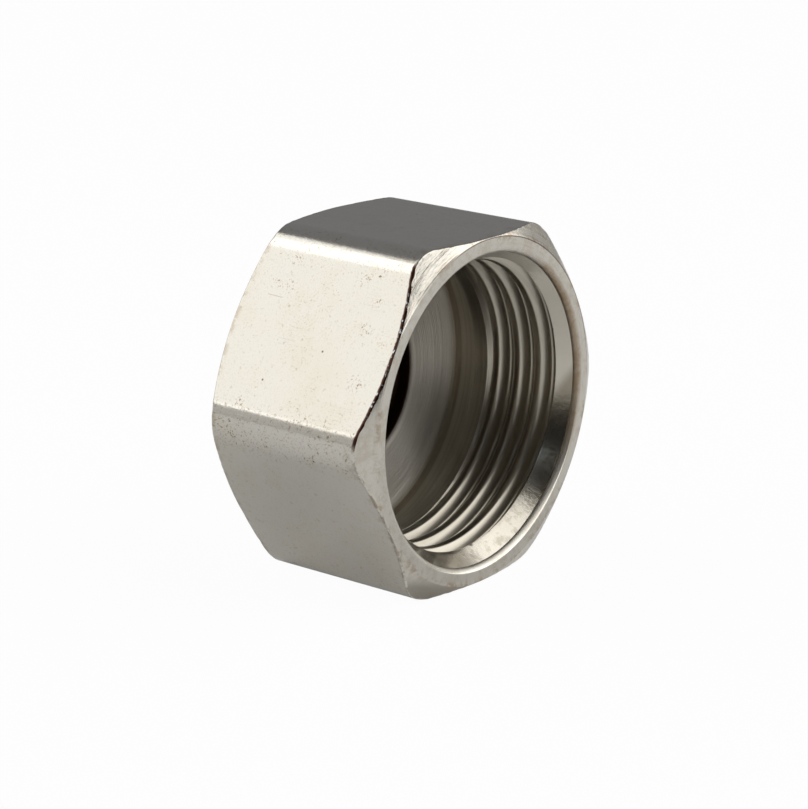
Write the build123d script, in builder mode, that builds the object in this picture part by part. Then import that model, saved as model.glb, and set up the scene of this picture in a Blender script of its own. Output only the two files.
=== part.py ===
from build123d import *
from math import radians, tan
import os

os.makedirs("parts", exist_ok=True)

# Hexagonal protection cap with an internal fine thread, M18 x 1.5. Sizes in millimetres.
# It lies on one flat with Z up, and the thread axis runs along X with the mouth towards +X.
# The origin is on the surface it lies on, under the middle of the cap.

# Thread: outer diameter of the screw it takes, and how far its crests stand inside it
thread_diameter = 18.0
thread_depth = 0.67
thread_radius = thread_diameter / 2
crest_radius = thread_radius - thread_depth

# Hexagon: metal left between the thread and a flat, and the soft corner of the bar
flat_wall = 1.0
corner_radius = 2.5
across_flats = thread_diameter + 2 * flat_wall
axis_height = across_flats / 2

# Turned ends: a flat ring, then a cone that cuts the corners of the hexagon back.
# The turning radius only has to be larger than the hexagon across its corners.
ring_inset = 0.04
chamfer_angle = 29.0
turning_allowance = 2.0
ring_radius = across_flats / 2 - ring_inset
turning_radius = across_flats / 2 + turning_allowance
chamfer_run = (turning_radius - ring_radius) * tan(radians(chamfer_angle))

# Mouth: a rounded edge, a very short straight lip, then a lead-in cone down to the thread crests
mouth_clearance = 0.03
lip_round = 0.34
lip_straight = 0.04
lead_angle = 35.0
mouth_radius = thread_radius + mouth_clearance
lip_length = lip_round + lip_straight
lead_run = (mouth_radius - crest_radius) / tan(radians(lead_angle))

# Depths, each from the end of the one before: thread, relief behind it, floor
thread_length = 7.0
relief_width = 2.25
relief_clearance = 0.05
relief_angle = 60.0
floor_fillet = 0.7
floor_thickness = 2.07
relief_radius = thread_radius + relief_clearance
relief_run = (relief_radius - crest_radius) / tan(radians(relief_angle))
bore_depth = thread_length + relief_width
cap_length = bore_depth + floor_thickness

# Recess in the middle of the floor
recess_radius = 4.95
recess_depth = 1.0
recess_fillet = 0.35

# Circular edges are picked by their radius, to within this
pick_tolerance = 0.001

mouth_plane = Plane(origin=(cap_length / 2, 0, axis_height), x_dir=(0, 1, 0), z_dir=(1, 0, 0))
section_plane = Plane(origin=(cap_length / 2, 0, axis_height), x_dir=(1, 0, 0), z_dir=(0, -1, 0))
thread_axis = Axis((0, 0, axis_height), (1, 0, 0))

with BuildPart() as cap_body:
    # Hexagonal bar with rounded corners, one flat down
    with BuildSketch(mouth_plane) as bar_outline:
        RegularPolygon(across_flats / 2, 6, major_radius=False)
        fillet(bar_outline.vertices(), corner_radius)
    extrude(amount=-cap_length)

    # Both ends turned: only what lies inside this turned shape is kept
    with BuildSketch(section_plane):
        with BuildLine():
            Polyline(
                (0, 0),
                (0, ring_radius),
                (-chamfer_run, turning_radius),
                (chamfer_run - cap_length, turning_radius),
                (-cap_length, ring_radius),
                (-cap_length, 0),
                close=True,
            )
        make_face()
    revolve(axis=thread_axis, mode=Mode.INTERSECT)

    # Bore: lip, lead-in cone, thread crests, relief and floor with its recess
    with BuildSketch(section_plane):
        with BuildLine():
            Polyline(
                (0, 0),
                (0, mouth_radius),
                (-lip_length, mouth_radius),
                (-lip_length - lead_run, crest_radius),
                (-thread_length, crest_radius),
                (-thread_length - relief_run, relief_radius),
                (-bore_depth, relief_radius),
                (-bore_depth, recess_radius),
                (-bore_depth - recess_depth, recess_radius),
                (-bore_depth - recess_depth, 0),
                close=True,
            )
        make_face()
    revolve(axis=thread_axis, mode=Mode.SUBTRACT)

    # Soft inner corners at the floor and in its recess, and a broken edge at the mouth
    def rings_of(radius):
        """Circular edges of that radius, from the back of the cap to its mouth."""
        rings = cap_body.edges().filter_by(GeomType.CIRCLE)
        return rings.filter_by(lambda e: abs(e.radius - radius) < pick_tolerance).sort_by(Axis.X)

    fillet(rings_of(relief_radius)[0], floor_fillet)
    fillet(rings_of(recess_radius)[0], recess_fillet)
    fillet(rings_of(mouth_radius)[-1], lip_round)

cap_body.part.label = "hexagonal threaded cap"
export_step(cap_body.part, "parts/cap_body.step")
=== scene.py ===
# %% [markdown]
# # A nickel-plated hexagon cap
#
# The object is a small protection cap that screws over the threaded end of a pipe. It is turned from
# hexagon brass bar, threaded inside, and nickel plated. This lesson builds its looks round the packed
# CAD model: first the frame and the camera, then the shape with its real screw thread, then the
# finishes, and last the studio.

import bmesh
import bpy
import numpy as np
from math import acos, atan2, cos, pi, radians, sin, sqrt, tan
from mathutils import Matrix, Vector, noise as ready_noise


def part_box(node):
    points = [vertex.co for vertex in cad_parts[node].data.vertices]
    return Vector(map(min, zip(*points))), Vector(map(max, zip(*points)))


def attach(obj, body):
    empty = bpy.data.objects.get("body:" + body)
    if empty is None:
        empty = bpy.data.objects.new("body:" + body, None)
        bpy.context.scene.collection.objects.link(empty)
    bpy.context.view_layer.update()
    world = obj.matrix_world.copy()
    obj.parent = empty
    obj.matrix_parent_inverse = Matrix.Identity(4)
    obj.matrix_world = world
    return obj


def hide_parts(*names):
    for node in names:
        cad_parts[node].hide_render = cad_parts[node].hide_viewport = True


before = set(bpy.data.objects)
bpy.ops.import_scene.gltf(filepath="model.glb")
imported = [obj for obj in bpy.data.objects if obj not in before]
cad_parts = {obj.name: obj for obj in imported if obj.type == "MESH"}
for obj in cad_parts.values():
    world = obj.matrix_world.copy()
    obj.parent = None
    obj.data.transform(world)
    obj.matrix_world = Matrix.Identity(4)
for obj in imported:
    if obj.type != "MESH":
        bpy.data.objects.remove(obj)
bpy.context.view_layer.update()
low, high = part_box("cap_body")
print("CAD box in mm:", [round(1000 * v, 3) for v in (*low, *high)])

# %% [markdown]
# ## Sizes
#
# All of the shape's sizes are in metres, like the frame. The thread axis runs along X at half the width
# across flats, and the mouth looks towards +X. Depths are counted from the mouth inwards, so a depth of
# 2 mm lies at `mouth_x - 2 * mm`. Angles round the axis are counted from +Y, so 90 degrees is straight
# up.

# %% Sizes of the hexagon
mm = 0.001
across_flats = high.z - low.z
mouth_x = high.x
cap_length = high.x - low.x
axis_height = across_flats / 2
half_flats = across_flats / 2

corner_radius = 2.5 * mm
ring_radius = half_flats - 0.04 * mm
chamfer_angle = radians(29)
print("across flats", round(across_flats / mm, 2), "mm, length", round(cap_length / mm, 2), "mm")

# %% Sizes of the bore and its thread
thread_pitch = 1.5 * mm
thread_radius = 9.0 * mm
crest_radius = 8.33 * mm
flank_angle = radians(30)
thread_length = 7.0 * mm

mouth_radius = 9.03 * mm
lip_length = 0.38 * mm
lip_round = 0.34 * mm
lead_angle = radians(35)
relief_radius = 9.05 * mm
relief_angle = radians(60)
bore_depth = 9.25 * mm
floor_fillet = 0.7 * mm
recess_radius = 4.95 * mm
recess_depth = 1.0 * mm
recess_fillet = 0.35 * mm
print("bore", round(bore_depth / mm, 2), "mm deep, thread pitch", round(thread_pitch / mm, 2), "mm")

# %% [markdown]
# ## The camera
#
# The camera looks from the front right and a little above. Its place comes from fitting the hexagon,
# the mouth and the floor of the bore to the photograph. Distances are in widths across flats, because a
# photograph only gives proportions. The direction is worked out first, then the frame of the picture is
# rolled a little. A matrix is used instead of three angles, since its columns are the picture's own
# right, up and back.

# %% Directions of the camera
camera_azimuth = radians(37.2885)
camera_elevation = radians(16.4169)
camera_roll = radians(0.9498)

back = Vector((
    sin(camera_azimuth) * cos(camera_elevation),
    -cos(camera_azimuth) * cos(camera_elevation),
    sin(camera_elevation),
))
level = Vector((cos(camera_azimuth), sin(camera_azimuth), 0))
upright = back.cross(level)
right = cos(camera_roll) * level + sin(camera_roll) * upright
up = cos(camera_roll) * upright - sin(camera_roll) * level
print("the camera looks along", [round(-v, 3) for v in back])

# %% Camera
camera_distance = 7.809
camera_slide = (0.2325, -0.0213)
focal_pixels = 2792.2153
picture_height = 809
sensor_size = 36
nearest_seen = 0.01

mouth_centre = Vector((mouth_x, 0, axis_height))
eye = mouth_centre + across_flats * (
    camera_distance * back - camera_slide[0] * right - camera_slide[1] * up
)
camera_data = bpy.data.cameras.new("camera")
# The sensor width is laid along the longer side of the picture, which is its height here
camera_data.sensor_width = sensor_size
camera_data.lens = focal_pixels * sensor_size / picture_height
camera_data.clip_start = nearest_seen
camera = bpy.data.objects.new("camera", camera_data)
camera.matrix_world = Matrix((
    (right.x, up.x, back.x, eye.x),
    (right.y, up.y, back.y, eye.y),
    (right.z, up.z, back.z, eye.z),
    (0, 0, 0, 1),
))
bpy.context.scene.collection.objects.link(camera)
bpy.context.scene.camera = camera
print("lens", round(camera_data.lens, 1), "mm, eye at", [round(v, 4) for v in eye])

# %% [markdown]
# ## The hexagon seen from the axis
#
# Every part of the cap is described by columns: half planes that start at the axis, one for each angle
# round it. In a column the hexagon is a single number, its radius. It is `half_flats / cos(angle)` over
# a flat, and an arc at the soft corner of the bar. A cylinder cut by Boolean tools would give the same
# outline, but its faces would be long and thin, while columns give an even mesh that the thread can
# follow.

# %% Radius of the bar
tangent_angle = atan2((half_flats - corner_radius) * tan(pi / 6), half_flats)
corner_offset = (half_flats - corner_radius) / cos(pi / 6)


def bar_radius(angle):
    """Radius of the hexagon bar at an angle round the axis, with a flat facing down."""
    from_corner = (angle % (pi / 3) + pi / 6) % (pi / 3) - pi / 6
    from_flat = pi / 6 - abs(from_corner)
    if from_flat <= tangent_angle:
        return half_flats / cos(from_flat)
    reach = corner_offset * sin(abs(from_corner))
    return corner_offset * cos(from_corner) + sqrt(corner_radius**2 - reach**2)


print("over a flat and over a corner:", [round(bar_radius(a) / mm, 3) for a in (pi / 2, 0)], "mm")

# %% [markdown]
# The columns are closer together over the corners, where the bar turns. Over a flat they are equally
# far apart along the flat and not in angle, so that its quads are equally wide.

# %% Columns round the axis
flat_steps = 50
corner_steps = 18

column_angles = []
for side in range(6):
    middle = pi / 6 + side * pi / 3
    for step in range(flat_steps):
        share = 2 * step / flat_steps - 1
        column_angles.append(middle + atan2(share * tan(tangent_angle), 1))
    for step in range(corner_steps):
        turn = radians(60) * step / corner_steps - radians(30)
        y = corner_offset + corner_radius * cos(turn)
        z = corner_radius * sin(turn)
        column_angles.append(middle + pi / 6 + atan2(z, y))
column_angles = np.array(column_angles)
hexagon = np.array([bar_radius(a) for a in column_angles])
columns = len(column_angles)
print(columns, "columns, radius", round(hexagon.min() / mm, 3), "to", round(hexagon.max() / mm, 3), "mm")

# %% [markdown]
# ## Rounded corners
#
# No edge of a real part is quite sharp, and a round edge, however small, catches the light. The profile
# of the cap has many corners, so one helper rounds any of them: it finds the circle that touches both
# sides.

# %% A rounded corner
def rounded(corner, before, after, radius, steps):
    """Points of an arc that rounds a corner of a profile between two neighbouring points."""
    c, a, b = np.array(corner), np.array(before), np.array(after)
    to_a = (a - c) / np.linalg.norm(a - c)
    to_b = (b - c) / np.linalg.norm(b - c)
    half = acos(float(np.clip(to_a @ to_b, -1, 1))) / 2
    bisector = (to_a + to_b) / np.linalg.norm(to_a + to_b)
    centre = c + bisector * radius / sin(half)
    start = c + to_a * radius / tan(half) - centre
    end = c + to_b * radius / tan(half) - centre
    points = []
    for step in range(steps + 1):
        mix = step / steps
        arm = start * (1 - mix) + end * mix
        points.append(tuple(centre + arm * radius / np.linalg.norm(arm)))
    return points


print("a square corner, rounded by 1:", np.round(rounded((0, 0), (1, 0), (0, 1), 1, 2), 3).tolist())

# %% [markdown]
# ## One turn of the thread
#
# A tap cuts a V groove with a rounded bottom and leaves a narrow crest between its turns. The table
# below holds half a turn, from the middle of the crest to the bottom of the groove: how far along the
# axis, and at what radius. The other half is its mirror image. The crest is rounded too, because plate
# builds up on edges, and a knife edge would catch the light in a hard, broken line.

# %% Thread profile
groove_round = 0.22 * mm
crest_round = 0.20 * mm
bottom_steps = 8

half_pitch = thread_pitch / 2
sharp_bottom = thread_radius + groove_round / sin(flank_angle) - groove_round
bottom = (half_pitch, sharp_bottom)
crest_end = (half_pitch - (sharp_bottom - crest_radius) * tan(flank_angle), crest_radius)
mirror_crest_end = (thread_pitch - crest_end[0], crest_radius)
crest_arc = rounded(crest_end, (0, crest_radius), bottom, crest_round, steps=5)
bottom_arc = rounded(bottom, crest_end, mirror_crest_end, groove_round, bottom_steps)
bottom_arc = bottom_arc[:bottom_steps // 2 + 1]
flank = []
for share in (1 / 3, 2 / 3):
    flank.append(tuple(np.array(crest_arc[-1]) * (1 - share) + np.array(bottom_arc[0]) * share))
half_turn = np.array([(0, crest_radius)] + crest_arc + flank + bottom_arc)
groove_depth = thread_radius - crest_radius
print("crest", round(2 * crest_end[0] / mm, 3), "mm wide, groove", round(groove_depth / mm, 3), "mm deep")
print("profile in mm:", np.round(half_turn / mm, 3).tolist())

# %% [markdown]
# ## Where the thread meets its ends
#
# A tap leaves its groove wherever the bore is narrower than the groove, so at any place the wall lies
# at the larger of two radii, the bore's and the groove's. That single rule gives the true curve where
# the helix runs out on the lead-in cone at the mouth. At the other end the tip of the tap is tapered:
# its groove grows shallow and stops before the relief, and a plain stretch of bore is left there.

# %% Bore and groove
right_hand = 1
thread_phase = -0.88 * mm
tap_tip = -5.1 * mm
tap_tip_angle = radians(36)
first_cut_angle = radians(45)
lead_end = -lip_length - (mouth_radius - crest_radius) / tan(lead_angle)
relief_end = -thread_length - (relief_radius - crest_radius) / tan(relief_angle)


def bore_radius(depth):
    """Radius of the bore before the thread is cut. Depths are zero at the mouth and negative inside."""
    cone = mouth_radius + (lip_length + depth) * tan(lead_angle)
    return np.maximum(cone, crest_radius)


def helix_shift(angle):
    """How far the thread has moved along the axis at an angle round it."""
    return right_hand * thread_pitch * angle / (2 * pi)


def groove_radius(depth, angle):
    """Radius that the tap cuts at a depth and an angle round the axis."""
    along = depth - thread_phase - helix_shift(angle)
    from_crest = np.abs((along + half_pitch) % thread_pitch - half_pitch)
    tip = thread_radius + (depth - tap_tip) * tan(tap_tip_angle)
    first_cut = thread_radius - (depth - lead_end) * tan(first_cut_angle)
    full = np.interp(from_crest, half_turn[:, 0], half_turn[:, 1])
    return np.minimum(full, np.minimum(tip, first_cut))


print("the lead-in ends", round(-lead_end / mm, 2), "mm deep")

# %% [markdown]
# The stations of the mesh follow the helix, so that crests and grooves always fall on an edge of the
# mesh. A fixed grid would need far more faces to look as smooth. Where the groove runs out, the nearest
# station is moved onto the crossing of the two radii, which keeps that curve clean.

# %% Stations of the thread
groove_out = -lip_length - (mouth_radius - thread_radius) / tan(lead_angle)
groove_deep = -6.5 * mm
spare_deep_turns = 3
spare_mouth_turns = 1
search_steps = 4000
touching = 0.001 * mm
snap_reach = 0.06 * mm


def thread_columns():
    """Depth and radius of every station of the thread, for every column. Stations follow the helix."""
    one_turn = np.concatenate([-half_turn[:0:-1, 0], half_turn[:-1, 0]])
    first_turn = int(np.floor((groove_deep - thread_phase) / thread_pitch)) - spare_deep_turns
    last_turn = int(np.ceil((groove_out - thread_phase) / thread_pitch)) + spare_mouth_turns
    base = np.concatenate([one_turn + turn * thread_pitch for turn in range(first_turn, last_turn)])
    depth = np.zeros((len(base), columns))
    for j, angle in enumerate(column_angles):
        stations = thread_phase + base + helix_shift(angle)
        fine = np.linspace(groove_deep, groove_out, search_steps)
        over = groove_radius(fine, angle) > bore_radius(fine) + touching
        for k in np.nonzero(over[1:] != over[:-1])[0]:
            crossing = (fine[k] + fine[k + 1]) / 2
            nearest = int(np.argmin(np.abs(stations - crossing)))
            if abs(stations[nearest] - crossing) < snap_reach:
                stations[nearest] = crossing
        depth[:, j] = np.clip(stations, groove_deep, groove_out)
    radius = np.maximum(bore_radius(depth), groove_radius(depth, column_angles[None, :]))
    return depth, radius, len(one_turn)


thread_depths, thread_radii, stations_per_turn = thread_columns()
print(len(thread_depths), "stations,", stations_per_turn, "to a turn")

# %% [markdown]
# ## The whole skin as rows and columns
#
# The skin is one closed sheet. It starts in the middle of the recess, runs out over the floor, up the
# bore, round the mouth, over the turned cone and the flats to the back, and closes in the middle of the
# back face. Each row is a depth and a radius for every column. Round rows have one radius; rows on the
# hexagon follow it.

# %% Helpers for the rows
skin = []


def row(depth, radius, zone):
    """One row of the skin. The zone names the surface between it and the next row."""
    skin.append((np.broadcast_to(depth, columns), np.broadcast_to(radius, columns), zone))


def rows(points, zone):
    """Rows of the skin through the points of a profile."""
    for depth, radius in points:
        row(depth, radius, zone)


print("rows hold", columns, "columns each")

# %% [markdown]
# The bore comes first, from the recess to the mouth. Its corners are named, because each one is also
# the neighbour of the next. A few rows stand close beside an arc. They keep the smooth shading of the
# arc from spreading over the plain surface next to it.

# %% Rows of the recess and the floor
rim_round = 0.06 * mm
beside_fillet = 0.1 * mm
recess_bottom = -bore_depth - recess_depth
recess_corner = (recess_bottom, recess_radius)
recess_rim = (-bore_depth, recess_radius)
floor_corner = (-bore_depth, relief_radius)

for share in (0.25, 0.5, 0.75, 0.9):
    row(recess_bottom, share * (recess_radius - recess_fillet), "recess")
rows(rounded(recess_corner, (recess_bottom, 0), (0, recess_radius), recess_fillet, steps=7), "recess")
rows(rounded(recess_rim, recess_corner, floor_corner, rim_round, steps=4)[:-1], "recess")
row(-bore_depth, recess_radius + rim_round, "floor")
for share in (0.1, 0.5, 0.9):
    span = relief_radius - floor_fillet - recess_radius - rim_round
    row(-bore_depth, recess_radius + rim_round + share * span, "floor")
rows(rounded(floor_corner, (-bore_depth, 0), (0, relief_radius), floor_fillet, steps=8), "floor")
row(-bore_depth + floor_fillet + beside_fillet, relief_radius, "bore")
print(len(skin), "rows up to the relief")

# %% Rows of the relief, the thread and the mouth
relief_round = 0.15 * mm
relief_corner = (relief_end, relief_radius)
thread_corner = (-thread_length, crest_radius)
lip_corner = (-lip_length, mouth_radius)
mouth_corner = (0, mouth_radius)
beside_ring = 0.05 * mm

rows(rounded(relief_corner, floor_corner, thread_corner, rim_round, steps=3), "bore")
rows(rounded(thread_corner, relief_corner, (0, crest_radius), relief_round, steps=5), "bore")
for depth, radius in zip(thread_depths, thread_radii):
    row(depth, radius, "thread")
rows(rounded(lip_corner, (groove_out, thread_radius), mouth_corner, rim_round, steps=3), "bore")
rows(rounded(mouth_corner, lip_corner, (0, ring_radius), lip_round, steps=8), "face")
row(0, mouth_radius + lip_round + beside_ring, "face")
row(0, ring_radius - beside_ring, "face")
print(len(skin), "rows up to the turned ring")

# %% [markdown]
# The outside follows. The cone of a turned end meets every flat in a curved edge. Years of use have
# rounded that edge a little and broken small chips out of it, so its radius changes from column to
# column. A Bevel modifier gives one radius only, while rows can take another radius in every column.

# %% Wear of the cut edges
edge_round = 0.05 * mm
edge_chip = 0.16 * mm
chips_per_metre = 2600
chip_bias = 0.35
most_of_cone = 0.8


def edge_wear(seed):
    """Radius of a cut edge at every column: a small round, with larger chips here and there."""
    wear = []
    for angle, reach in zip(column_angles, hexagon):
        around = chips_per_metre * reach
        spot = Vector((around * cos(angle), around * sin(angle), seed))
        wear.append(edge_round + edge_chip * max(0.0, ready_noise.noise(spot) + chip_bias))
    room = (hexagon - ring_radius) / cos(chamfer_angle)
    return np.minimum(wear, most_of_cone * room)


front_wear, back_wear = edge_wear(0), edge_wear(50)
print("edge radii from", round(front_wear.min() / mm, 3), "to", round(front_wear.max() / mm, 3), "mm")

# %% Rows of the outside
slope = tan(chamfer_angle)
edge_depth = -slope * (hexagon - ring_radius)
edge_arc = rounded((0, 0), (slope, -1), (-1, 0), 1.0, steps=5)

row(0, ring_radius, "cone")
for share in (0.03, 0.25, 0.5):
    reach = ring_radius + share * (hexagon - ring_radius)
    row(-slope * (reach - ring_radius), reach, "cone")
for depth, radius in edge_arc[:-1]:
    row(edge_depth + depth * front_wear, hexagon + radius * front_wear, "edge")
side_start = edge_depth + edge_arc[-1][0] * front_wear
side_end = -cap_length - edge_depth - edge_arc[-1][0] * back_wear
row(side_start, hexagon, "flat")
for share in (0.012, 0.03, 0.1, 0.3, 0.5, 0.7, 0.9, 0.97, 0.988):
    row(side_start + share * (side_end - side_start), hexagon, "flat")
row(side_end, hexagon, "edge")
for depth, radius in edge_arc[-2:0:-1]:
    row(-cap_length - edge_depth - depth * back_wear, hexagon + radius * back_wear, "edge")
row(-cap_length - edge_depth - edge_arc[0][0] * back_wear, hexagon + edge_arc[0][1] * back_wear, "cone")
for share in (0.5, 0.25, 0.03):
    reach = ring_radius + share * (hexagon - ring_radius)
    row(slope * (reach - ring_radius) - cap_length, reach, "cone")
row(-cap_length, ring_radius, "face")
for share in (0.99, 0.7, 0.4, 0.15):
    row(-cap_length, share * ring_radius, "face")
print(len(skin), "rows in all")

# %% [markdown]
# ## Making the mesh
#
# The rows are joined to their neighbours with quads. Round the axis the last column joins the first one
# again. In the thread a station has moved on by one pitch after a full turn, so there the last column
# joins the first one a whole turn of stations further on. Stations beyond the ends of the groove lie on
# one another: they are merged afterwards, which leaves a closed skin.

# %% Mesh of the cap
finish_of_zone = {
    "flat": 0, "edge": 0, "cone": 1, "face": 1,
    "bore": 2, "thread": 2, "floor": 3, "recess": 4,
}
first_station = next(k for k, r in enumerate(skin) if r[2] == "thread")
last_station = max(k for k, r in enumerate(skin) if r[2] == "thread")
merge_distance = 2e-7


def build_cap():
    """The closed skin as a mesh, the number of its open edges, and the volume it holds."""
    bm = bmesh.new()
    grid = []
    for depth, radius, _ in skin:
        grid.append([
            bm.verts.new((mouth_x + d, r * cos(a), axis_height + r * sin(a)))
            for d, r, a in zip(depth, radius, column_angles)
        ])
    deep_centre = bm.verts.new((mouth_x + recess_bottom, 0, axis_height))
    back_centre = bm.verts.new((mouth_x - cap_length, 0, axis_height))

    def next_vertex(k, j):
        """The vertex of row k in the column after column j."""
        if j + 1 < columns:
            return grid[k][j + 1]
        if first_station <= k <= last_station:
            return grid[min(max(k + right_hand * stations_per_turn, first_station), last_station)][0]
        return grid[k][0]

    def face(corners, zone):
        """A face with the finish of its zone. Corners that are the same vertex count once."""
        corners = list(dict.fromkeys(corners))
        if len(corners) < 3:
            return
        made = bm.faces.new(corners)
        made.smooth = True
        made.material_index = finish_of_zone[zone]

    last = len(grid) - 1
    for j in range(columns):
        face((deep_centre, next_vertex(0, j), grid[0][j]), "recess")
        face((back_centre, grid[last][j], next_vertex(last, j)), "face")
    for k in range(last):
        for j in range(columns):
            face((grid[k][j], next_vertex(k, j), next_vertex(k + 1, j), grid[k + 1][j]), skin[k][2])
    bmesh.ops.remove_doubles(bm, verts=bm.verts, dist=merge_distance)
    bmesh.ops.recalc_face_normals(bm, faces=bm.faces)
    loose = sum(1 for e in bm.edges if len(e.link_faces) != 2)
    volume = bm.calc_volume()
    mesh = bpy.data.meshes.new("threaded_cap")
    bm.to_mesh(mesh)
    bm.free()
    return mesh, loose, volume


cap_mesh, open_edges, cap_volume = build_cap()
triangles = sum(len(p.vertices) - 2 for p in cap_mesh.polygons)
print(triangles, "triangles,", open_edges, "open edges,", round(cap_volume / mm**3, 1), "cubic mm")

# %% [markdown]
# The mesh is shaded smooth, and only edges that turn by more than the angle below stay sharp. It then
# moves with the root and stands in for the plain CAD body, which is hidden.

# %% The cap in the frame
sharp_angle = radians(27)
cap_mesh.set_sharp_from_angle(angle=sharp_angle)
cap = bpy.data.objects.new("threaded_cap", cap_mesh)
bpy.context.scene.collection.objects.link(cap)
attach(cap, "root")
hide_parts("cap_body")
print(cap.name, "stands in for the CAD body")

# %% [markdown]
# ## A small language for finishes
#
# A finish is a network of nodes. Writing it as sums is easier to read than placing the nodes one by
# one, so a wire below stands for one output of a node, and adding or multiplying wires adds the Math
# nodes. Every other node comes from the method `node`.

# %% Wires
class Wire:
    """An output of a node in a material. Arithmetic on it adds Math nodes."""

    def __init__(self, tree, socket=None):
        self.tree = tree
        self.socket = socket

    def node(self, kind, settings=None, sockets=None, out=0):
        """Adds a node: its settings are set first, then the values or wires of its sockets."""
        made = self.tree.nodes.new(kind)
        for key, value in (settings or {}).items():
            setattr(made, key, value)
        for key, value in (sockets or {}).items():
            if isinstance(value, Wire):
                self.tree.links.new(value.socket, made.inputs[key])
            else:
                made.inputs[key].default_value = value
        return Wire(self.tree, made.outputs[out] if len(made.outputs) else None)

    def beside(self, name):
        """Another output of the same node."""
        return Wire(self.tree, self.socket.node.outputs[name])

    def math(self, operation, first, second=None):
        """A Math node on one value or on two."""
        sockets = {0: first} if second is None else {0: first, 1: second}
        return self.node("ShaderNodeMath", {"operation": operation}, sockets)

    def __add__(self, other):
        return self.math("ADD", self, other)

    __radd__ = __add__

    def __sub__(self, other):
        return self.math("SUBTRACT", self, other)

    def __rsub__(self, other):
        return self.math("SUBTRACT", other, self)

    def __mul__(self, other):
        return self.math("MULTIPLY", self, other)

    __rmul__ = __mul__

    def __truediv__(self, other):
        return self.math("DIVIDE", self, other)

    def root(self):
        """The square root."""
        return self.math("SQRT", self)

    def size(self):
        """The value without its sign."""
        return self.math("ABSOLUTE", self)

    def step(self, start, end):
        """0 below start, 1 above end, and a soft change between. With end below start it runs down."""
        rising = start < end
        shares = {"Value": self, "From Min": min(start, end), "From Max": max(start, end)}
        shares["To Min"], shares["To Max"] = (0.0, 1.0) if rising else (1.0, 0.0)
        return self.node("ShaderNodeMapRange", {"interpolation_type": "SMOOTHSTEP"}, shares)

    def blend(self, first, second):
        """A colour between two: the first where this wire is 0, and the second where it is 1."""
        settings = {"data_type": "RGBA", "clamp_factor": True}
        return self.node("ShaderNodeMix", settings, {0: self, 6: first, 7: second}, 2)


def rgb(red, green, blue):
    """A colour with full cover."""
    return (red, green, blue, 1.0)


print("wires can be added, subtracted, multiplied, divided, stepped and blended")

# %% [markdown]
# Every finish of the cap is metal, so one helper ends them all. It takes a colour, a roughness and a
# relief. The relief is a bump and not real geometry, because tool marks are a few microns high and
# nobody sees them in the outline.

# %% A metallic finish
micron = 1e-6
coat_roughness = 0.1


def new_finish(name):
    """An empty material and a wire that starts its network."""
    material = bpy.data.materials.new(name)
    material.use_nodes = True
    material.node_tree.nodes.clear()
    return material, Wire(material.node_tree)


def metal(tools, colour, roughness, relief, relief_depth, gloss=0.0):
    """A metallic surface whose relief, a height from 0 to 1, stands relief_depth metres proud.

    Gloss is the weight of a thin clear layer, which keeps small lamps sharp on a dull metal."""
    bump = {"Height": relief, "Distance": relief_depth, "Strength": 1.0}
    sockets = {"Base Color": colour, "Roughness": roughness, "Metallic": 1.0}
    sockets.update({"Coat Weight": gloss, "Coat Roughness": coat_roughness})
    sockets["Normal"] = tools.node("ShaderNodeBump", None, bump)
    surface = tools.node("ShaderNodeBsdfPrincipled", None, sockets)
    tools.node("ShaderNodeOutputMaterial", None, {"Surface": surface})


print("the clear layer has roughness", coat_roughness)

# %% [markdown]
# Stains and scratches sit at certain places of the cap, so a finish has to know where each point lies:
# how deep, how far from the axis, and in which direction round it. That could be painted into an
# unwrapped picture, but worked out from the object's own coordinates it stays sharp however near the
# camera comes.

# %% Places on the cap
class Place:
    """Where a point of the cap's surface lies, as wires in metres. Y, Z and radius start at the axis."""

    def __init__(self, tools):
        self.point = tools.node("ShaderNodeTexCoord", None, None, "Object")
        self.x = tools.node("ShaderNodeSeparateXYZ", None, {0: self.point})
        self.y = self.x.beside("Y")
        self.z = self.x.beside("Z") - axis_height
        self.radius = (self.y * self.y + self.z * self.z).root()

    def toward(self, angle):
        """Distance from the thread axis, measured in one direction round it, given in degrees."""
        return self.y * cos(radians(angle)) + self.z * sin(radians(angle))

    def spot(self, depth, across, height, rim, core):
        """A round mark: 1 inside its core, 0 outside its rim. Its centre is given in millimetres."""
        centre = (mouth_x + depth * mm, across * mm, axis_height + height * mm)
        ends = {0: self.point, 1: centre}
        reach = self.point.node("ShaderNodeVectorMath", {"operation": "DISTANCE"}, ends, "Value")
        return reach.step(rim, core)


print("the mouth lies at x =", round(mouth_x / mm, 2), "mm")

# %% [markdown]
# Two kinds of noise are enough for all the marks. Soft noise makes clouds, specks and, stretched along
# one direction, scratches. Noise that changes only with one distance draws the rings that a lathe tool
# leaves.

# %% Noise and rings
def noise(point, scale, detail=4.0, roughness=0.5, stretch=None, seed=0.0):
    """Soft noise from 0 to 1. Scale is how many features fit in a metre, before any stretch."""
    if stretch is not None:
        point = point.node("ShaderNodeVectorMath", {"operation": "MULTIPLY"}, {0: point, 1: stretch})
    sockets = {"Vector": point, "W": seed, "Scale": scale, "Detail": detail, "Roughness": roughness}
    return point.node("ShaderNodeTexNoise", {"noise_dimensions": "4D"}, sockets)


def turned_rings(across, scale):
    """Tool marks: noise that changes only with one distance, so it draws rings round the axis."""
    sockets = {"W": across, "Scale": scale, "Detail": 3.0, "Roughness": 0.65}
    return across.node("ShaderNodeTexNoise", {"noise_dimensions": "1D"}, sockets)


print("helpers for the finishes are ready")
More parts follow.
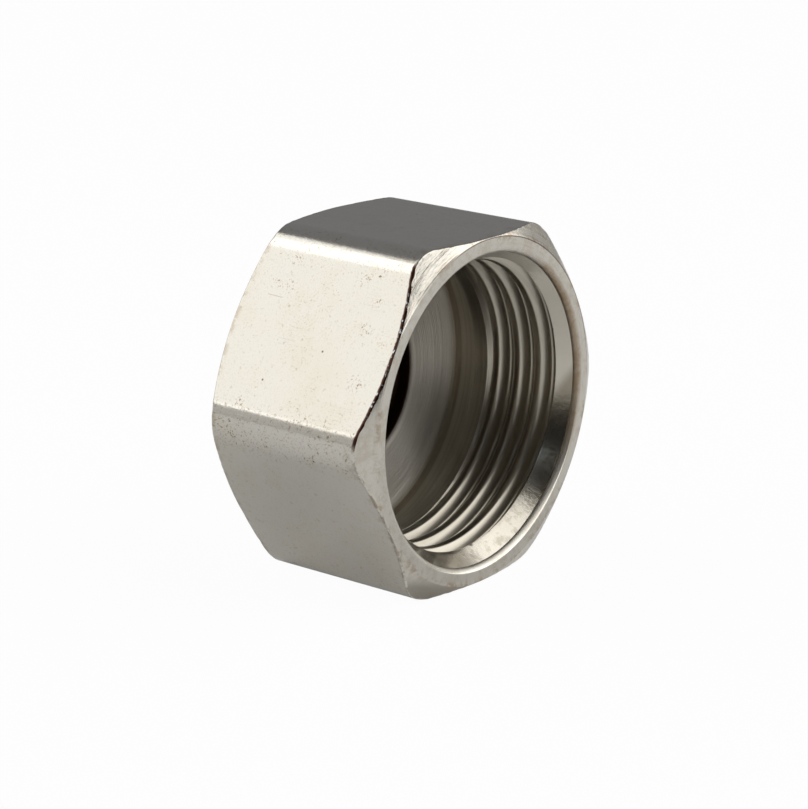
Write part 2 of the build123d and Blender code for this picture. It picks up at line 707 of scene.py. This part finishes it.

# %% [markdown]
# ## Nickel plate
#
# The cap is brass with a thin coat of nickel, a slightly warm grey. Five finishes share that metal.
# What tells them apart is what the tools and the years left on it: a thin yellowish film on the flats,
# rings on the turned faces and a brown line where the plate is thin along the cut edge. Some of the
# colour is painted shade and painted light: the bottom of the thread, the low side of the cone, one side
# of the lead-in and one side of the deep end of the bore are painted darker, the recess is painted near
# black, and the floor of the bore is painted paler.

# %% Colours of the metal
nickel = rgb(0.68, 0.66, 0.615)
nickel_film = rgb(0.66, 0.63, 0.56)
dull_film_and_painted_shade = rgb(0.36, 0.345, 0.31)
bore_nickel = rgb(0.65, 0.62, 0.55)
thread_nickel = rgb(0.54, 0.51, 0.445)
floor_nickel_painted_light = rgb(0.89, 0.85, 0.78)
bare_chip = rgb(0.62, 0.68, 0.74)
print("nickel is", nickel[:3])

# %% Colours of the stains and of the painted shade
speck_brown = rgb(0.27, 0.18, 0.10)
tan_stain = rgb(0.40, 0.31, 0.22)
edge_brown = rgb(0.065, 0.030, 0.021)
relief_brown = rgb(0.24, 0.20, 0.14)
groove_painted_shade = rgb(0.23, 0.20, 0.155)
old_oil = rgb(0.36, 0.31, 0.22)
deep_painted_shade = rgb(0.11, 0.095, 0.07)
recess_painted_shade_dark = rgb(0.03, 0.019, 0.013)
recess_painted_shade_light = rgb(0.08, 0.048, 0.032)
# The darkest of these colours is the painted shade of the recess.
print("the darkest stain is", recess_painted_shade_dark[:3])

# %% [markdown]
# ## The flats
#
# A flat is drawn bar, so it is smooth but not polished. Over it lies a film of uneven thickness. The
# marks depend on where a point lies: how far behind the curved front edge, how far before the back
# edge, how near a corner of the hexagon, and whether it is on the upper left flat, which is the
# brightest one. How far a point lies behind the edge follows from the cone: the edge is where the cone
# meets the bar.

# %% Where a point lies on the flats
flats, tools = new_finish("nickel_flats")
place = Place(tools)
slope_gap = slope * (place.radius - ring_radius)
behind_edge = mouth_x - slope_gap - place.x
before_back = place.x - slope_gap - (mouth_x - cap_length)
bright_flat_angle = 150
on_bright_flat = place.toward(bright_flat_angle).step(half_flats - 0.32 * mm, half_flats - 0.08 * mm)
near_corner = place.radius.step(half_flats + 0.5 * mm, half_flats + 1.25 * mm)
left_corner = place.toward(186).step(10.75 * mm, 11.05 * mm)
below_left_corner = place.toward(182).step(10.5 * mm, 11.0 * mm)
print("the bright flat faces", bright_flat_angle, "degrees round the axis")

# %% [markdown]
# Small brown specks come in clusters and in smudges. The specks only show where a coarser noise allows
# them, because even scatter looks like sand. The smudges have places of their own: depth, across and
# height from the axis, and width, all in millimetres.

# %% Specks and smudges
clouds = noise(place.point, 170, detail=5, roughness=0.62)
clusters = noise(place.point, 480, detail=5, roughness=0.75, seed=1.7).step(0.46, 0.66)
fine_specks = noise(place.point, 9000, detail=2, roughness=0.6, seed=2.9).step(0.55, 0.66)
coarse_specks = noise(place.point, 3400, detail=3, roughness=0.7, seed=4.1).step(0.60, 0.68)
smudge_places = [
    (-8.2, -7.32, 7.32, 0.75), (-9.2, -7.36, 7.26, 0.5), (-5.1, -7.32, 7.32, 0.45),
    (-3.6, -6.75, 8.3, 0.6), (-2.5, -6.5, 8.75, 0.6), (-2.2, -7.3, 7.35, 0.45),
    (-8.4, -6.55, 8.65, 0.5), (-2.3, -8.1, 6.0, 0.6), (-1.9, -9.6, 3.4, 0.8),
    (-8.9, -10.8, 1.3, 0.5), (-4.5, -10.9, 1.1, 0.7), (-7.6, -11.3, 0.3, 0.6),
]
smudges = 0
for depth, across, height, width in smudge_places:
    smudges = smudges + place.spot(depth, across, height, rim=width * mm, core=0.0)
spread = 0.2 + 0.35 * clusters + 0.30 * near_corner
spread = spread + 0.5 * left_corner * clouds.step(0.42, 0.6)
spread = spread + 1.6 * smudges
spread = spread + below_left_corner * (0.3 + 0.7 * clusters)
specks = spread * (0.45 * fine_specks + 0.9 * coarse_specks)
print(len(smudge_places), "smudges")

# %% [markdown]
# Hair-fine scratches mostly follow the bar. Noise that is stretched along the bar passes through its
# middle value on long thin lines, so a narrow step round that value draws them. One longer scratch and
# two dark pits on the bright flat have places of their own.

# %% Scratches and pits
along_scratches = noise(place.point, 5200, detail=1, roughness=0.4, stretch=(0.018, 1, 1))
across_scratches = noise(place.point, 3600, detail=1, roughness=0.4, stretch=(1, 1, 0.03), seed=5.3)
scratch_zones = noise(place.point, 420, detail=3, roughness=0.6, seed=6.1).step(0.48, 0.60)
along_lines = (along_scratches - 0.5).size().step(0.003, 0.001)
across_lines = (across_scratches - 0.5).size().step(0.004, 0.001)
scratches = scratch_zones * (0.3 * along_lines + 0.15 * across_lines)

along_scratch = place.x - (mouth_x - 9.6 * mm)
above_scratch = (place.z - 6.70 * mm + 0.03 * along_scratch).size()
long_scratch = above_scratch.step(0.035 * mm, 0.01 * mm) * along_scratch.step(0.0, 0.1 * mm)
long_scratch = long_scratch * along_scratch.step(1.2 * mm, 1.0 * mm) * on_bright_flat

pit_places = [(-4.64, -8.93, 4.53), (-7.93, -10.05, 2.59)]
pits = 0
for depth, across, height in pit_places:
    pits = pits + place.spot(depth, across, height, rim=0.09 * mm, core=0.03 * mm)
print(len(pit_places), "pits and one long scratch")

# %% [markdown]
# Along the cut edge the plate is thin, and the brass under it has gone brown. The line is darkest on
# the flat that faces the light, where small chips in it catch the light too. On the other flats it is
# only a tan stain.

# %% Edges of the flats
ragged = noise(place.point, 1300, detail=4, roughness=0.7, seed=7.7)
line_width = 0.05 * mm + 0.22 * mm * ragged
dark_line = on_bright_flat * (behind_edge / line_width).step(1.25, 0.75)
chips = noise(place.point, 5200, detail=2, roughness=0.6, seed=8.3).step(0.57, 0.62)
in_middle = place.toward(60).size().step(4.0 * mm, 2.4 * mm)
line_colour = (chips * in_middle).blend(edge_brown, bare_chip)
faint_line = place.toward(210).step(9.6 * mm, 9.9 * mm) * (behind_edge / line_width).step(1.1, 0.6)
tan_front = (behind_edge / (0.9 * mm)).step(1.0, 0.1) * ragged.step(0.46, 0.62) * (1 - on_bright_flat)
tan_back = (before_back / (0.4 * mm)).step(1.0, 0.2) * ragged.step(0.45, 0.6)
print("the brown line is 0.05 to 0.27 mm wide")

# %% [markdown]
# The layers go over one another in the order in which they came on the real cap: film, specks and
# scratches, pits, then the stains of the edge. A faint unevenness, a few microns high, frays the edges
# of what the flats mirror, as drawn metal does.

# %% Finish of the flats
film = (clouds + 0.25 * clusters).step(0.35, 0.85).blend(nickel, nickel_film)
marked = (specks + 0.16 * scratches + 0.35 * long_scratch).blend(film, speck_brown)
pitted = (0.8 * pits).blend(marked, edge_brown)
edged = (dark_line + 0.5 * faint_line * ragged.step(0.42, 0.55)).blend(pitted, line_colour)
flat_colour = (0.5 * tan_front + 0.5 * tan_back).blend(edged, tan_stain)

fray = noise(place.point, 1700, detail=4, roughness=0.7, seed=9.1)
burr_noise = noise(place.point, 4200, detail=3, roughness=0.7, seed=3.3)
burr = (1 - on_bright_flat) * (behind_edge / (0.2 * mm)).step(1.0, 0.3) * burr_noise
flat_roughness = 0.12 + 0.05 * clouds + 0.15 * specks + 0.2 * dark_line
flat_relief = fray + 5 * burr - 0.5 * scratches - 0.8 * dark_line
metal(tools, flat_colour, flat_roughness, flat_relief, 8 * micron)
print(len(flats.node_tree.nodes), "nodes in", flats.name)

# %% [markdown]
# ## The turned faces
#
# The cone and the ring were cut with a lathe tool, which leaves rings round the axis. On the cone they
# are coarse and ragged, most of all at the upper corner, because the tool met the corners of the
# hexagon in turns. Perfect rings look printed, so the distance that draws them wanders a little.

# %% Tool marks of the turned faces
turned, tools = new_finish("nickel_turned")
place = Place(tools)
wander = noise(place.point, 260, detail=3, roughness=0.6)
across = place.radius + 0.16 * mm * wander
coarse_rings = turned_rings(across, 3400)
fine_rings = turned_rings(across, 15000)
on_cone = (place.radius - ring_radius).step(0.0, 0.1 * mm)
upper_corner = place.toward(120).step(9.6 * mm, 10.4 * mm)
turn = tools.math("ARCTAN2", place.z, place.y)
brushed = tools.node("ShaderNodeCombineXYZ", None, {0: 0.0016 * turn, 1: across})
streaks = noise(brushed, 7500, detail=3, roughness=0.7, seed=1.3)
print("coarse rings on the cone, fine rings on the ring and the back")

# %% [markdown]
# A blotchy brown line follows the circle where the cone ends and the ring starts, and tan stains lie
# beside the rounded lip, along the rings of the cone and in soft patches on the ring. The back face is
# cleaner, so most of the patches are held to the front.

# %% Stains of the turned faces
from_circle = (place.radius - ring_radius).size()
blotches = noise(place.point, 1150, detail=5, roughness=0.75, seed=2.2)
front = place.x.step(0.0, 2 * mm)
mottle = (0.06 + 0.22 * front) * blotches.step(0.45, 0.62) * (1 - upper_corner)
circle_stain = from_circle.step(0.30 * mm, 0.05 * mm) * blotches.step(0.50, 0.62)
ring_strength = 0.4 * wander.step(0.38, 0.6) + 0.3 * upper_corner * streaks.step(0.45, 0.6)
ring_stain = on_cone * coarse_rings.step(0.50, 0.62) * ring_strength
beside_lip = (place.radius - mouth_radius).step(0.45 * mm, 0.08 * mm)
beside_lip = beside_lip * place.toward(15).step(5.5 * mm, 8.0 * mm)
arcs = place.toward(35).step(2.0 * mm, 7.0 * mm) * coarse_rings.step(0.52, 0.60)
arcs = arcs * streaks.step(0.42, 0.58)
stains = mottle + 0.45 * circle_stain + 0.4 * ring_stain + 0.8 * front * beside_lip + 0.22 * arcs
thin_line = from_circle.step(0.05 * mm, 0.02 * mm) * place.toward(60).step(4.0 * mm, 7.5 * mm)
print("the brown line follows a circle of radius", round(ring_radius / mm, 2), "mm")

# %% Finish of the turned faces
turned_film = (0.5 * wander + 0.5 * fine_rings).blend(nickel, nickel_film)
# Painted shade: the low side of the cone is painted a dull dark grey, for the shadowed floor that it
# mirrors. At the upper corner the same colour is a light dull film.
shaded_low_side = on_cone * place.toward(-105).step(9.3 * mm, 10.2 * mm)
dulled_and_shaded = (shaded_low_side + 0.2 * upper_corner).blend(turned_film, dull_film_and_painted_shade)
stained = stains.blend(dulled_and_shaded, tan_stain)
turned_colour = (0.75 * thin_line).blend(stained, edge_brown)
at_lip = place.radius.step(mouth_radius + 0.22 * mm, mouth_radius + 0.05 * mm)
turned_roughness = 0.17 + 0.08 * wander + 0.3 * at_lip
coarse_relief = (0.08 + 0.92 * upper_corner) * on_cone * (0.6 * coarse_rings + 0.6 * streaks)
metal(tools, turned_colour, turned_roughness, coarse_relief + 0.006 * fine_rings, 160 * micron)
print(len(turned.node_tree.nodes), "nodes in", turned.name)

# %% [markdown]
# ## The bore
#
# The thread was cut with a tap and is smoother than the rest, but a bore is hard to plate and to clean:
# it is a little browner and oil has left smears in it. The bottom of its grooves is painted darker, as
# painted shade. The parts of the bore are told apart by depth. Behind the groove's end the bore is plain,
# and on one side it is painted dark there, as painted shade.

# %% Parts of the bore
bore, tools = new_finish("nickel_bore")
place = Place(tools)
behind_thread = place.x.step(mouth_x - thread_length, mouth_x - thread_length - 0.2 * mm)
inside_thread = place.x.step(mouth_x + lead_end + 0.3 * mm, mouth_x + lead_end - 0.3 * mm)
groove_bottom = place.radius.step(thread_radius - 0.10 * mm, thread_radius)
groove_bottom = groove_bottom * (1 - behind_thread) * inside_thread
plain_start = 5.4 * mm
plain = place.x.step(mouth_x - plain_start, mouth_x - 5.8 * mm)
deep_end = place.x.step(mouth_x - 5.5 * mm, mouth_x - 5.9 * mm)
deep_end = deep_end * place.x.step(mouth_x - 7.1 * mm, mouth_x - 6.7 * mm)
# Painted shade: the deep end of the bore is painted dark on its upper side.
shaded_deep_side = deep_end * place.toward(45).step(6.0 * mm, 8.2 * mm)
upper_lead = place.toward(80).step(7.6 * mm, 8.5 * mm) * (1 - inside_thread)
# Painted shade: the lead-in on the side that faces the camera is painted dark brown, for the dark room
# that it mirrors.
lead_painted_shade = place.toward(-22).step(7.9 * mm, 8.4 * mm) * (1 - inside_thread)
print("the plain stretch starts", plain_start / mm, "mm deep")

# %% [markdown]
# Fine turning marks behind the thread stretch its highlights along the axis. The lead-in cone is blotchy
# low down, where a fitting rubs when it is put on, and on the side that faces the camera it is painted
# dark brown, as painted shade for the dark room that it mirrors.
# A thin clear layer keeps the small highlights on the thread.

# %% Finish of the bore
smears = noise(place.point, 520, detail=4, roughness=0.6, stretch=(0.3, 1, 1))
lead_marks = noise(place.point, 1500, detail=4, roughness=0.7, stretch=(0.5, 1, 1), seed=5.9)
lead_marks = lead_marks.step(0.48, 0.64) * place.toward(-75).step(4.5 * mm, 6.5 * mm)
lead_marks = lead_marks * (1 - inside_thread)
tap_lines = turned_rings(place.x, 4500).step(0.45, 0.6) * inside_thread
bore_film = (0.35 * smears).blend(inside_thread.blend(bore_nickel, thread_nickel), old_oil)
bore_browning_and_shade = 0.12 * behind_thread + 0.45 * lead_marks + 0.7 * lead_painted_shade + 0.2 * tap_lines
browned_and_shaded = bore_browning_and_shade.blend(bore_film, relief_brown)
# Painted shade: the deepest bottom of the grooves is painted darker, where the turns shade one another.
groove_shaded = (0.6 * groove_bottom).blend(browned_and_shaded, groove_painted_shade)
bore_colour = (0.9 * shaded_deep_side).blend(groove_shaded, deep_painted_shade)

turning = turned_rings(place.x, 14000)
ripple = noise(place.point, 2500, detail=3, roughness=0.6, seed=4.4) * (1 - inside_thread)
ripple = ripple + 0.25 * lead_marks
bore_relief = turning * (0.25 + 8 * plain) + 4 * ripple
bore_roughness = 0.23 + 0.03 * inside_thread + 0.28 * upper_lead + 0.06 * smears + 0.05 * behind_thread
metal(tools, bore_colour, bore_roughness, bore_relief, 2.5 * micron, gloss=0.6)
print(len(bore.node_tree.nodes), "nodes in", bore.name)

# %% [markdown]
# ## The floor of the bore and its recess
#
# The floor was faced off from the middle outwards, which leaves rings and a soft, duller shine. It is
# painted paler than the nickel elsewhere, as painted light, because it lies deep in the bore. It is
# browner in the corner of the wall, and darker beside the recess, as painted shade that lets the recess
# fade out softly. The recess in its middle was left by the drill. It is painted near black and dark
# brown, as painted shade of a hollow that little light reaches.

# %% Floor of the bore
floor_finish, tools = new_finish("nickel_floor")
place = Place(tools)
floor_rings = turned_rings(place.radius, 16000)
near_recess = place.radius.step(recess_radius + 0.45 * mm, recess_radius + 0.05 * mm)
near_wall = place.radius.step(8.75 * mm, 9.0 * mm)
# Painted light: the floor's nickel is paler than the nickel elsewhere, to brighten it deep in the bore.
floor_tone_and_light = (0.85 * near_wall).blend(floor_nickel_painted_light, relief_brown)
# Painted shade: beside the recess the floor is painted darker, so that the recess fades out softly.
floor_colour = (0.05 * floor_rings + 0.7 * near_recess).blend(floor_tone_and_light, edge_brown)
metal(tools, floor_colour, 0.38 + 0.06 * floor_rings, floor_rings, 80 * micron)
print(len(floor_finish.node_tree.nodes), "nodes in", floor_finish.name)

# %% Recess
recess, tools = new_finish("brown_recess")
place = Place(tools)
recess_mottle = noise(place.point, 900, detail=4, roughness=0.6)
# Painted shade: the recess is painted near black and dark brown, for a hollow that little light reaches.
recess_colour = recess_mottle.blend(recess_painted_shade_dark, recess_painted_shade_light)
metal(tools, recess_colour, 0.42 + 0.2 * recess_mottle, recess_mottle, 20 * micron)

for material in (flats, turned, bore, floor_finish, recess):
    cap_mesh.materials.append(material)
print("finishes:", [m.name for m in cap_mesh.materials])

# %% [markdown]
# ## The studio
#
# The cap lies on a wide white floor. A floor that is lit until it clips to white would flood the metal
# with light. So the floor is plain white paper that takes the shadow, and it glows by itself only for
# rays that come from the camera, and a little for rays that a mirror sends: it looks white, and still
# lights nothing else.

# %% Paper floor
seen_white = 0.965
mirrored_white = 0.12
paper_white = 0.95

bpy.ops.mesh.primitive_plane_add(size=6)
ground = bpy.context.object
ground.name = "studio_floor"
white, tools = new_finish("white_floor")
ray = tools.node("ShaderNodeLightPath", None, None, "Is Camera Ray")
seen = seen_white * ray
for kind in ("Is Glossy Ray", "Is Transmission Ray"):
    seen = seen + mirrored_white * ray.beside(kind)
paper = tools.node("ShaderNodeBsdfDiffuse", None, {"Color": rgb(paper_white, paper_white, paper_white)})
glow = tools.node("ShaderNodeEmission", None, {"Color": rgb(1, 1, 1), "Strength": 1.0})
shown = tools.node("ShaderNodeMixShader", None, {0: seen, 1: paper, 2: glow})
tools.node("ShaderNodeOutputMaterial", None, {"Surface": shown})
ground.data.materials.append(white)
print(ground.name, "lies at z =", ground.location.z)

# %% [markdown]
# Metal shows what stands round it, so the lamps and the walls draw most of the picture. A large soft
# box on the left makes the bright flat, one on the right lights the bore, and a small high one softens
# the corner between two flats. Two small, slightly blue windows give the thread its cool sheen.
# Radiance is what a mirror shows of a lamp, so it stays the same when the lamp's size or distance is
# changed.

# %% Lamps
def softbox(name, direction, distance, width, height, radiance, colour=(1, 1, 1)):
    """A soft rectangular lamp that faces the cap. Its radiance is what a mirror would show."""
    data = bpy.data.lights.new(name, "AREA")
    data.shape = "RECTANGLE"
    data.size, data.size_y = width, height
    data.energy = radiance * pi * width * height
    data.color = colour
    lamp = bpy.data.objects.new(name, data)
    toward = Vector(direction).normalized()
    lamp.location = Vector((0, 0, axis_height)) + distance * toward
    lamp.rotation_euler = toward.to_track_quat("Z", "Y").to_euler()
    bpy.context.scene.collection.objects.link(lamp)
    print(name, "gives", round(data.energy, 3), "watts")


warm_white = (1.0, 0.985, 0.945)
soft_white = (1.0, 0.99, 0.965)
sky_blue = (0.75, 0.87, 1.0)
softbox("softbox_left", (-0.72, -0.485, 0.703), 0.5, 0.6, 0.385, radiance=1.25, colour=warm_white)
softbox("softbox_right", (0.62, 0.50, 0.60), 0.6, 0.70, 0.95, radiance=1.5, colour=soft_white)
softbox("softbox_high", (-0.581, -0.27, 0.765), 0.45, 0.16, 0.11, radiance=0.5)
softbox("window_upper", (0.548, -0.589, 0.595), 0.9, 0.02, 0.02, radiance=22.0, colour=sky_blue)
softbox("window_lower", (0.565, -0.615, 0.545), 0.9, 0.02, 0.02, radiance=15.0, colour=sky_blue)

# %% [markdown]
# The room itself is the world. It is nearly black behind the camera, which gives the dark lines and the
# contrast in the bore, and grey on the far side. A paler wall stands on the right, and a low pale strip
# on the left lights the flat under the bright one.

# %% Room
black_wall = rgb(0.02, 0.02, 0.02)
grey_wall = rgb(0.205, 0.205, 0.21)
pale_wall = rgb(0.42, 0.415, 0.40)
pale_strip = rgb(0.55, 0.54, 0.52)

world = bpy.data.worlds.new("studio")
bpy.context.scene.world = world
world.use_nodes = True
room = Wire(world.node_tree)
direction = room.node("ShaderNodeTexCoord", None, None, "Generated")


def facing(x, y, z):
    """How far a direction in the room points the given way."""
    ways = {0: direction, 1: (x, y, z)}
    return room.node("ShaderNodeVectorMath", {"operation": "DOT_PRODUCT"}, ways, "Value")


wall = facing(-0.6, 0.8, 0).step(-0.3, 0.5).blend(black_wall, grey_wall)
wall = facing(0.45, 0.89, 0).step(0.55, 0.95).blend(wall, pale_wall)
low_left = facing(-0.8, -0.6, 0).step(0.55, 0.85) * facing(0, 0, 1).step(0.40, 0.32)
wall = low_left.blend(wall, pale_strip)
world.node_tree.links.new(wall.socket, world.node_tree.nodes["Background"].inputs["Color"])
bpy.context.scene.view_settings.view_transform = "Standard"
print("the room goes from", black_wall[0], "to", pale_strip[0])
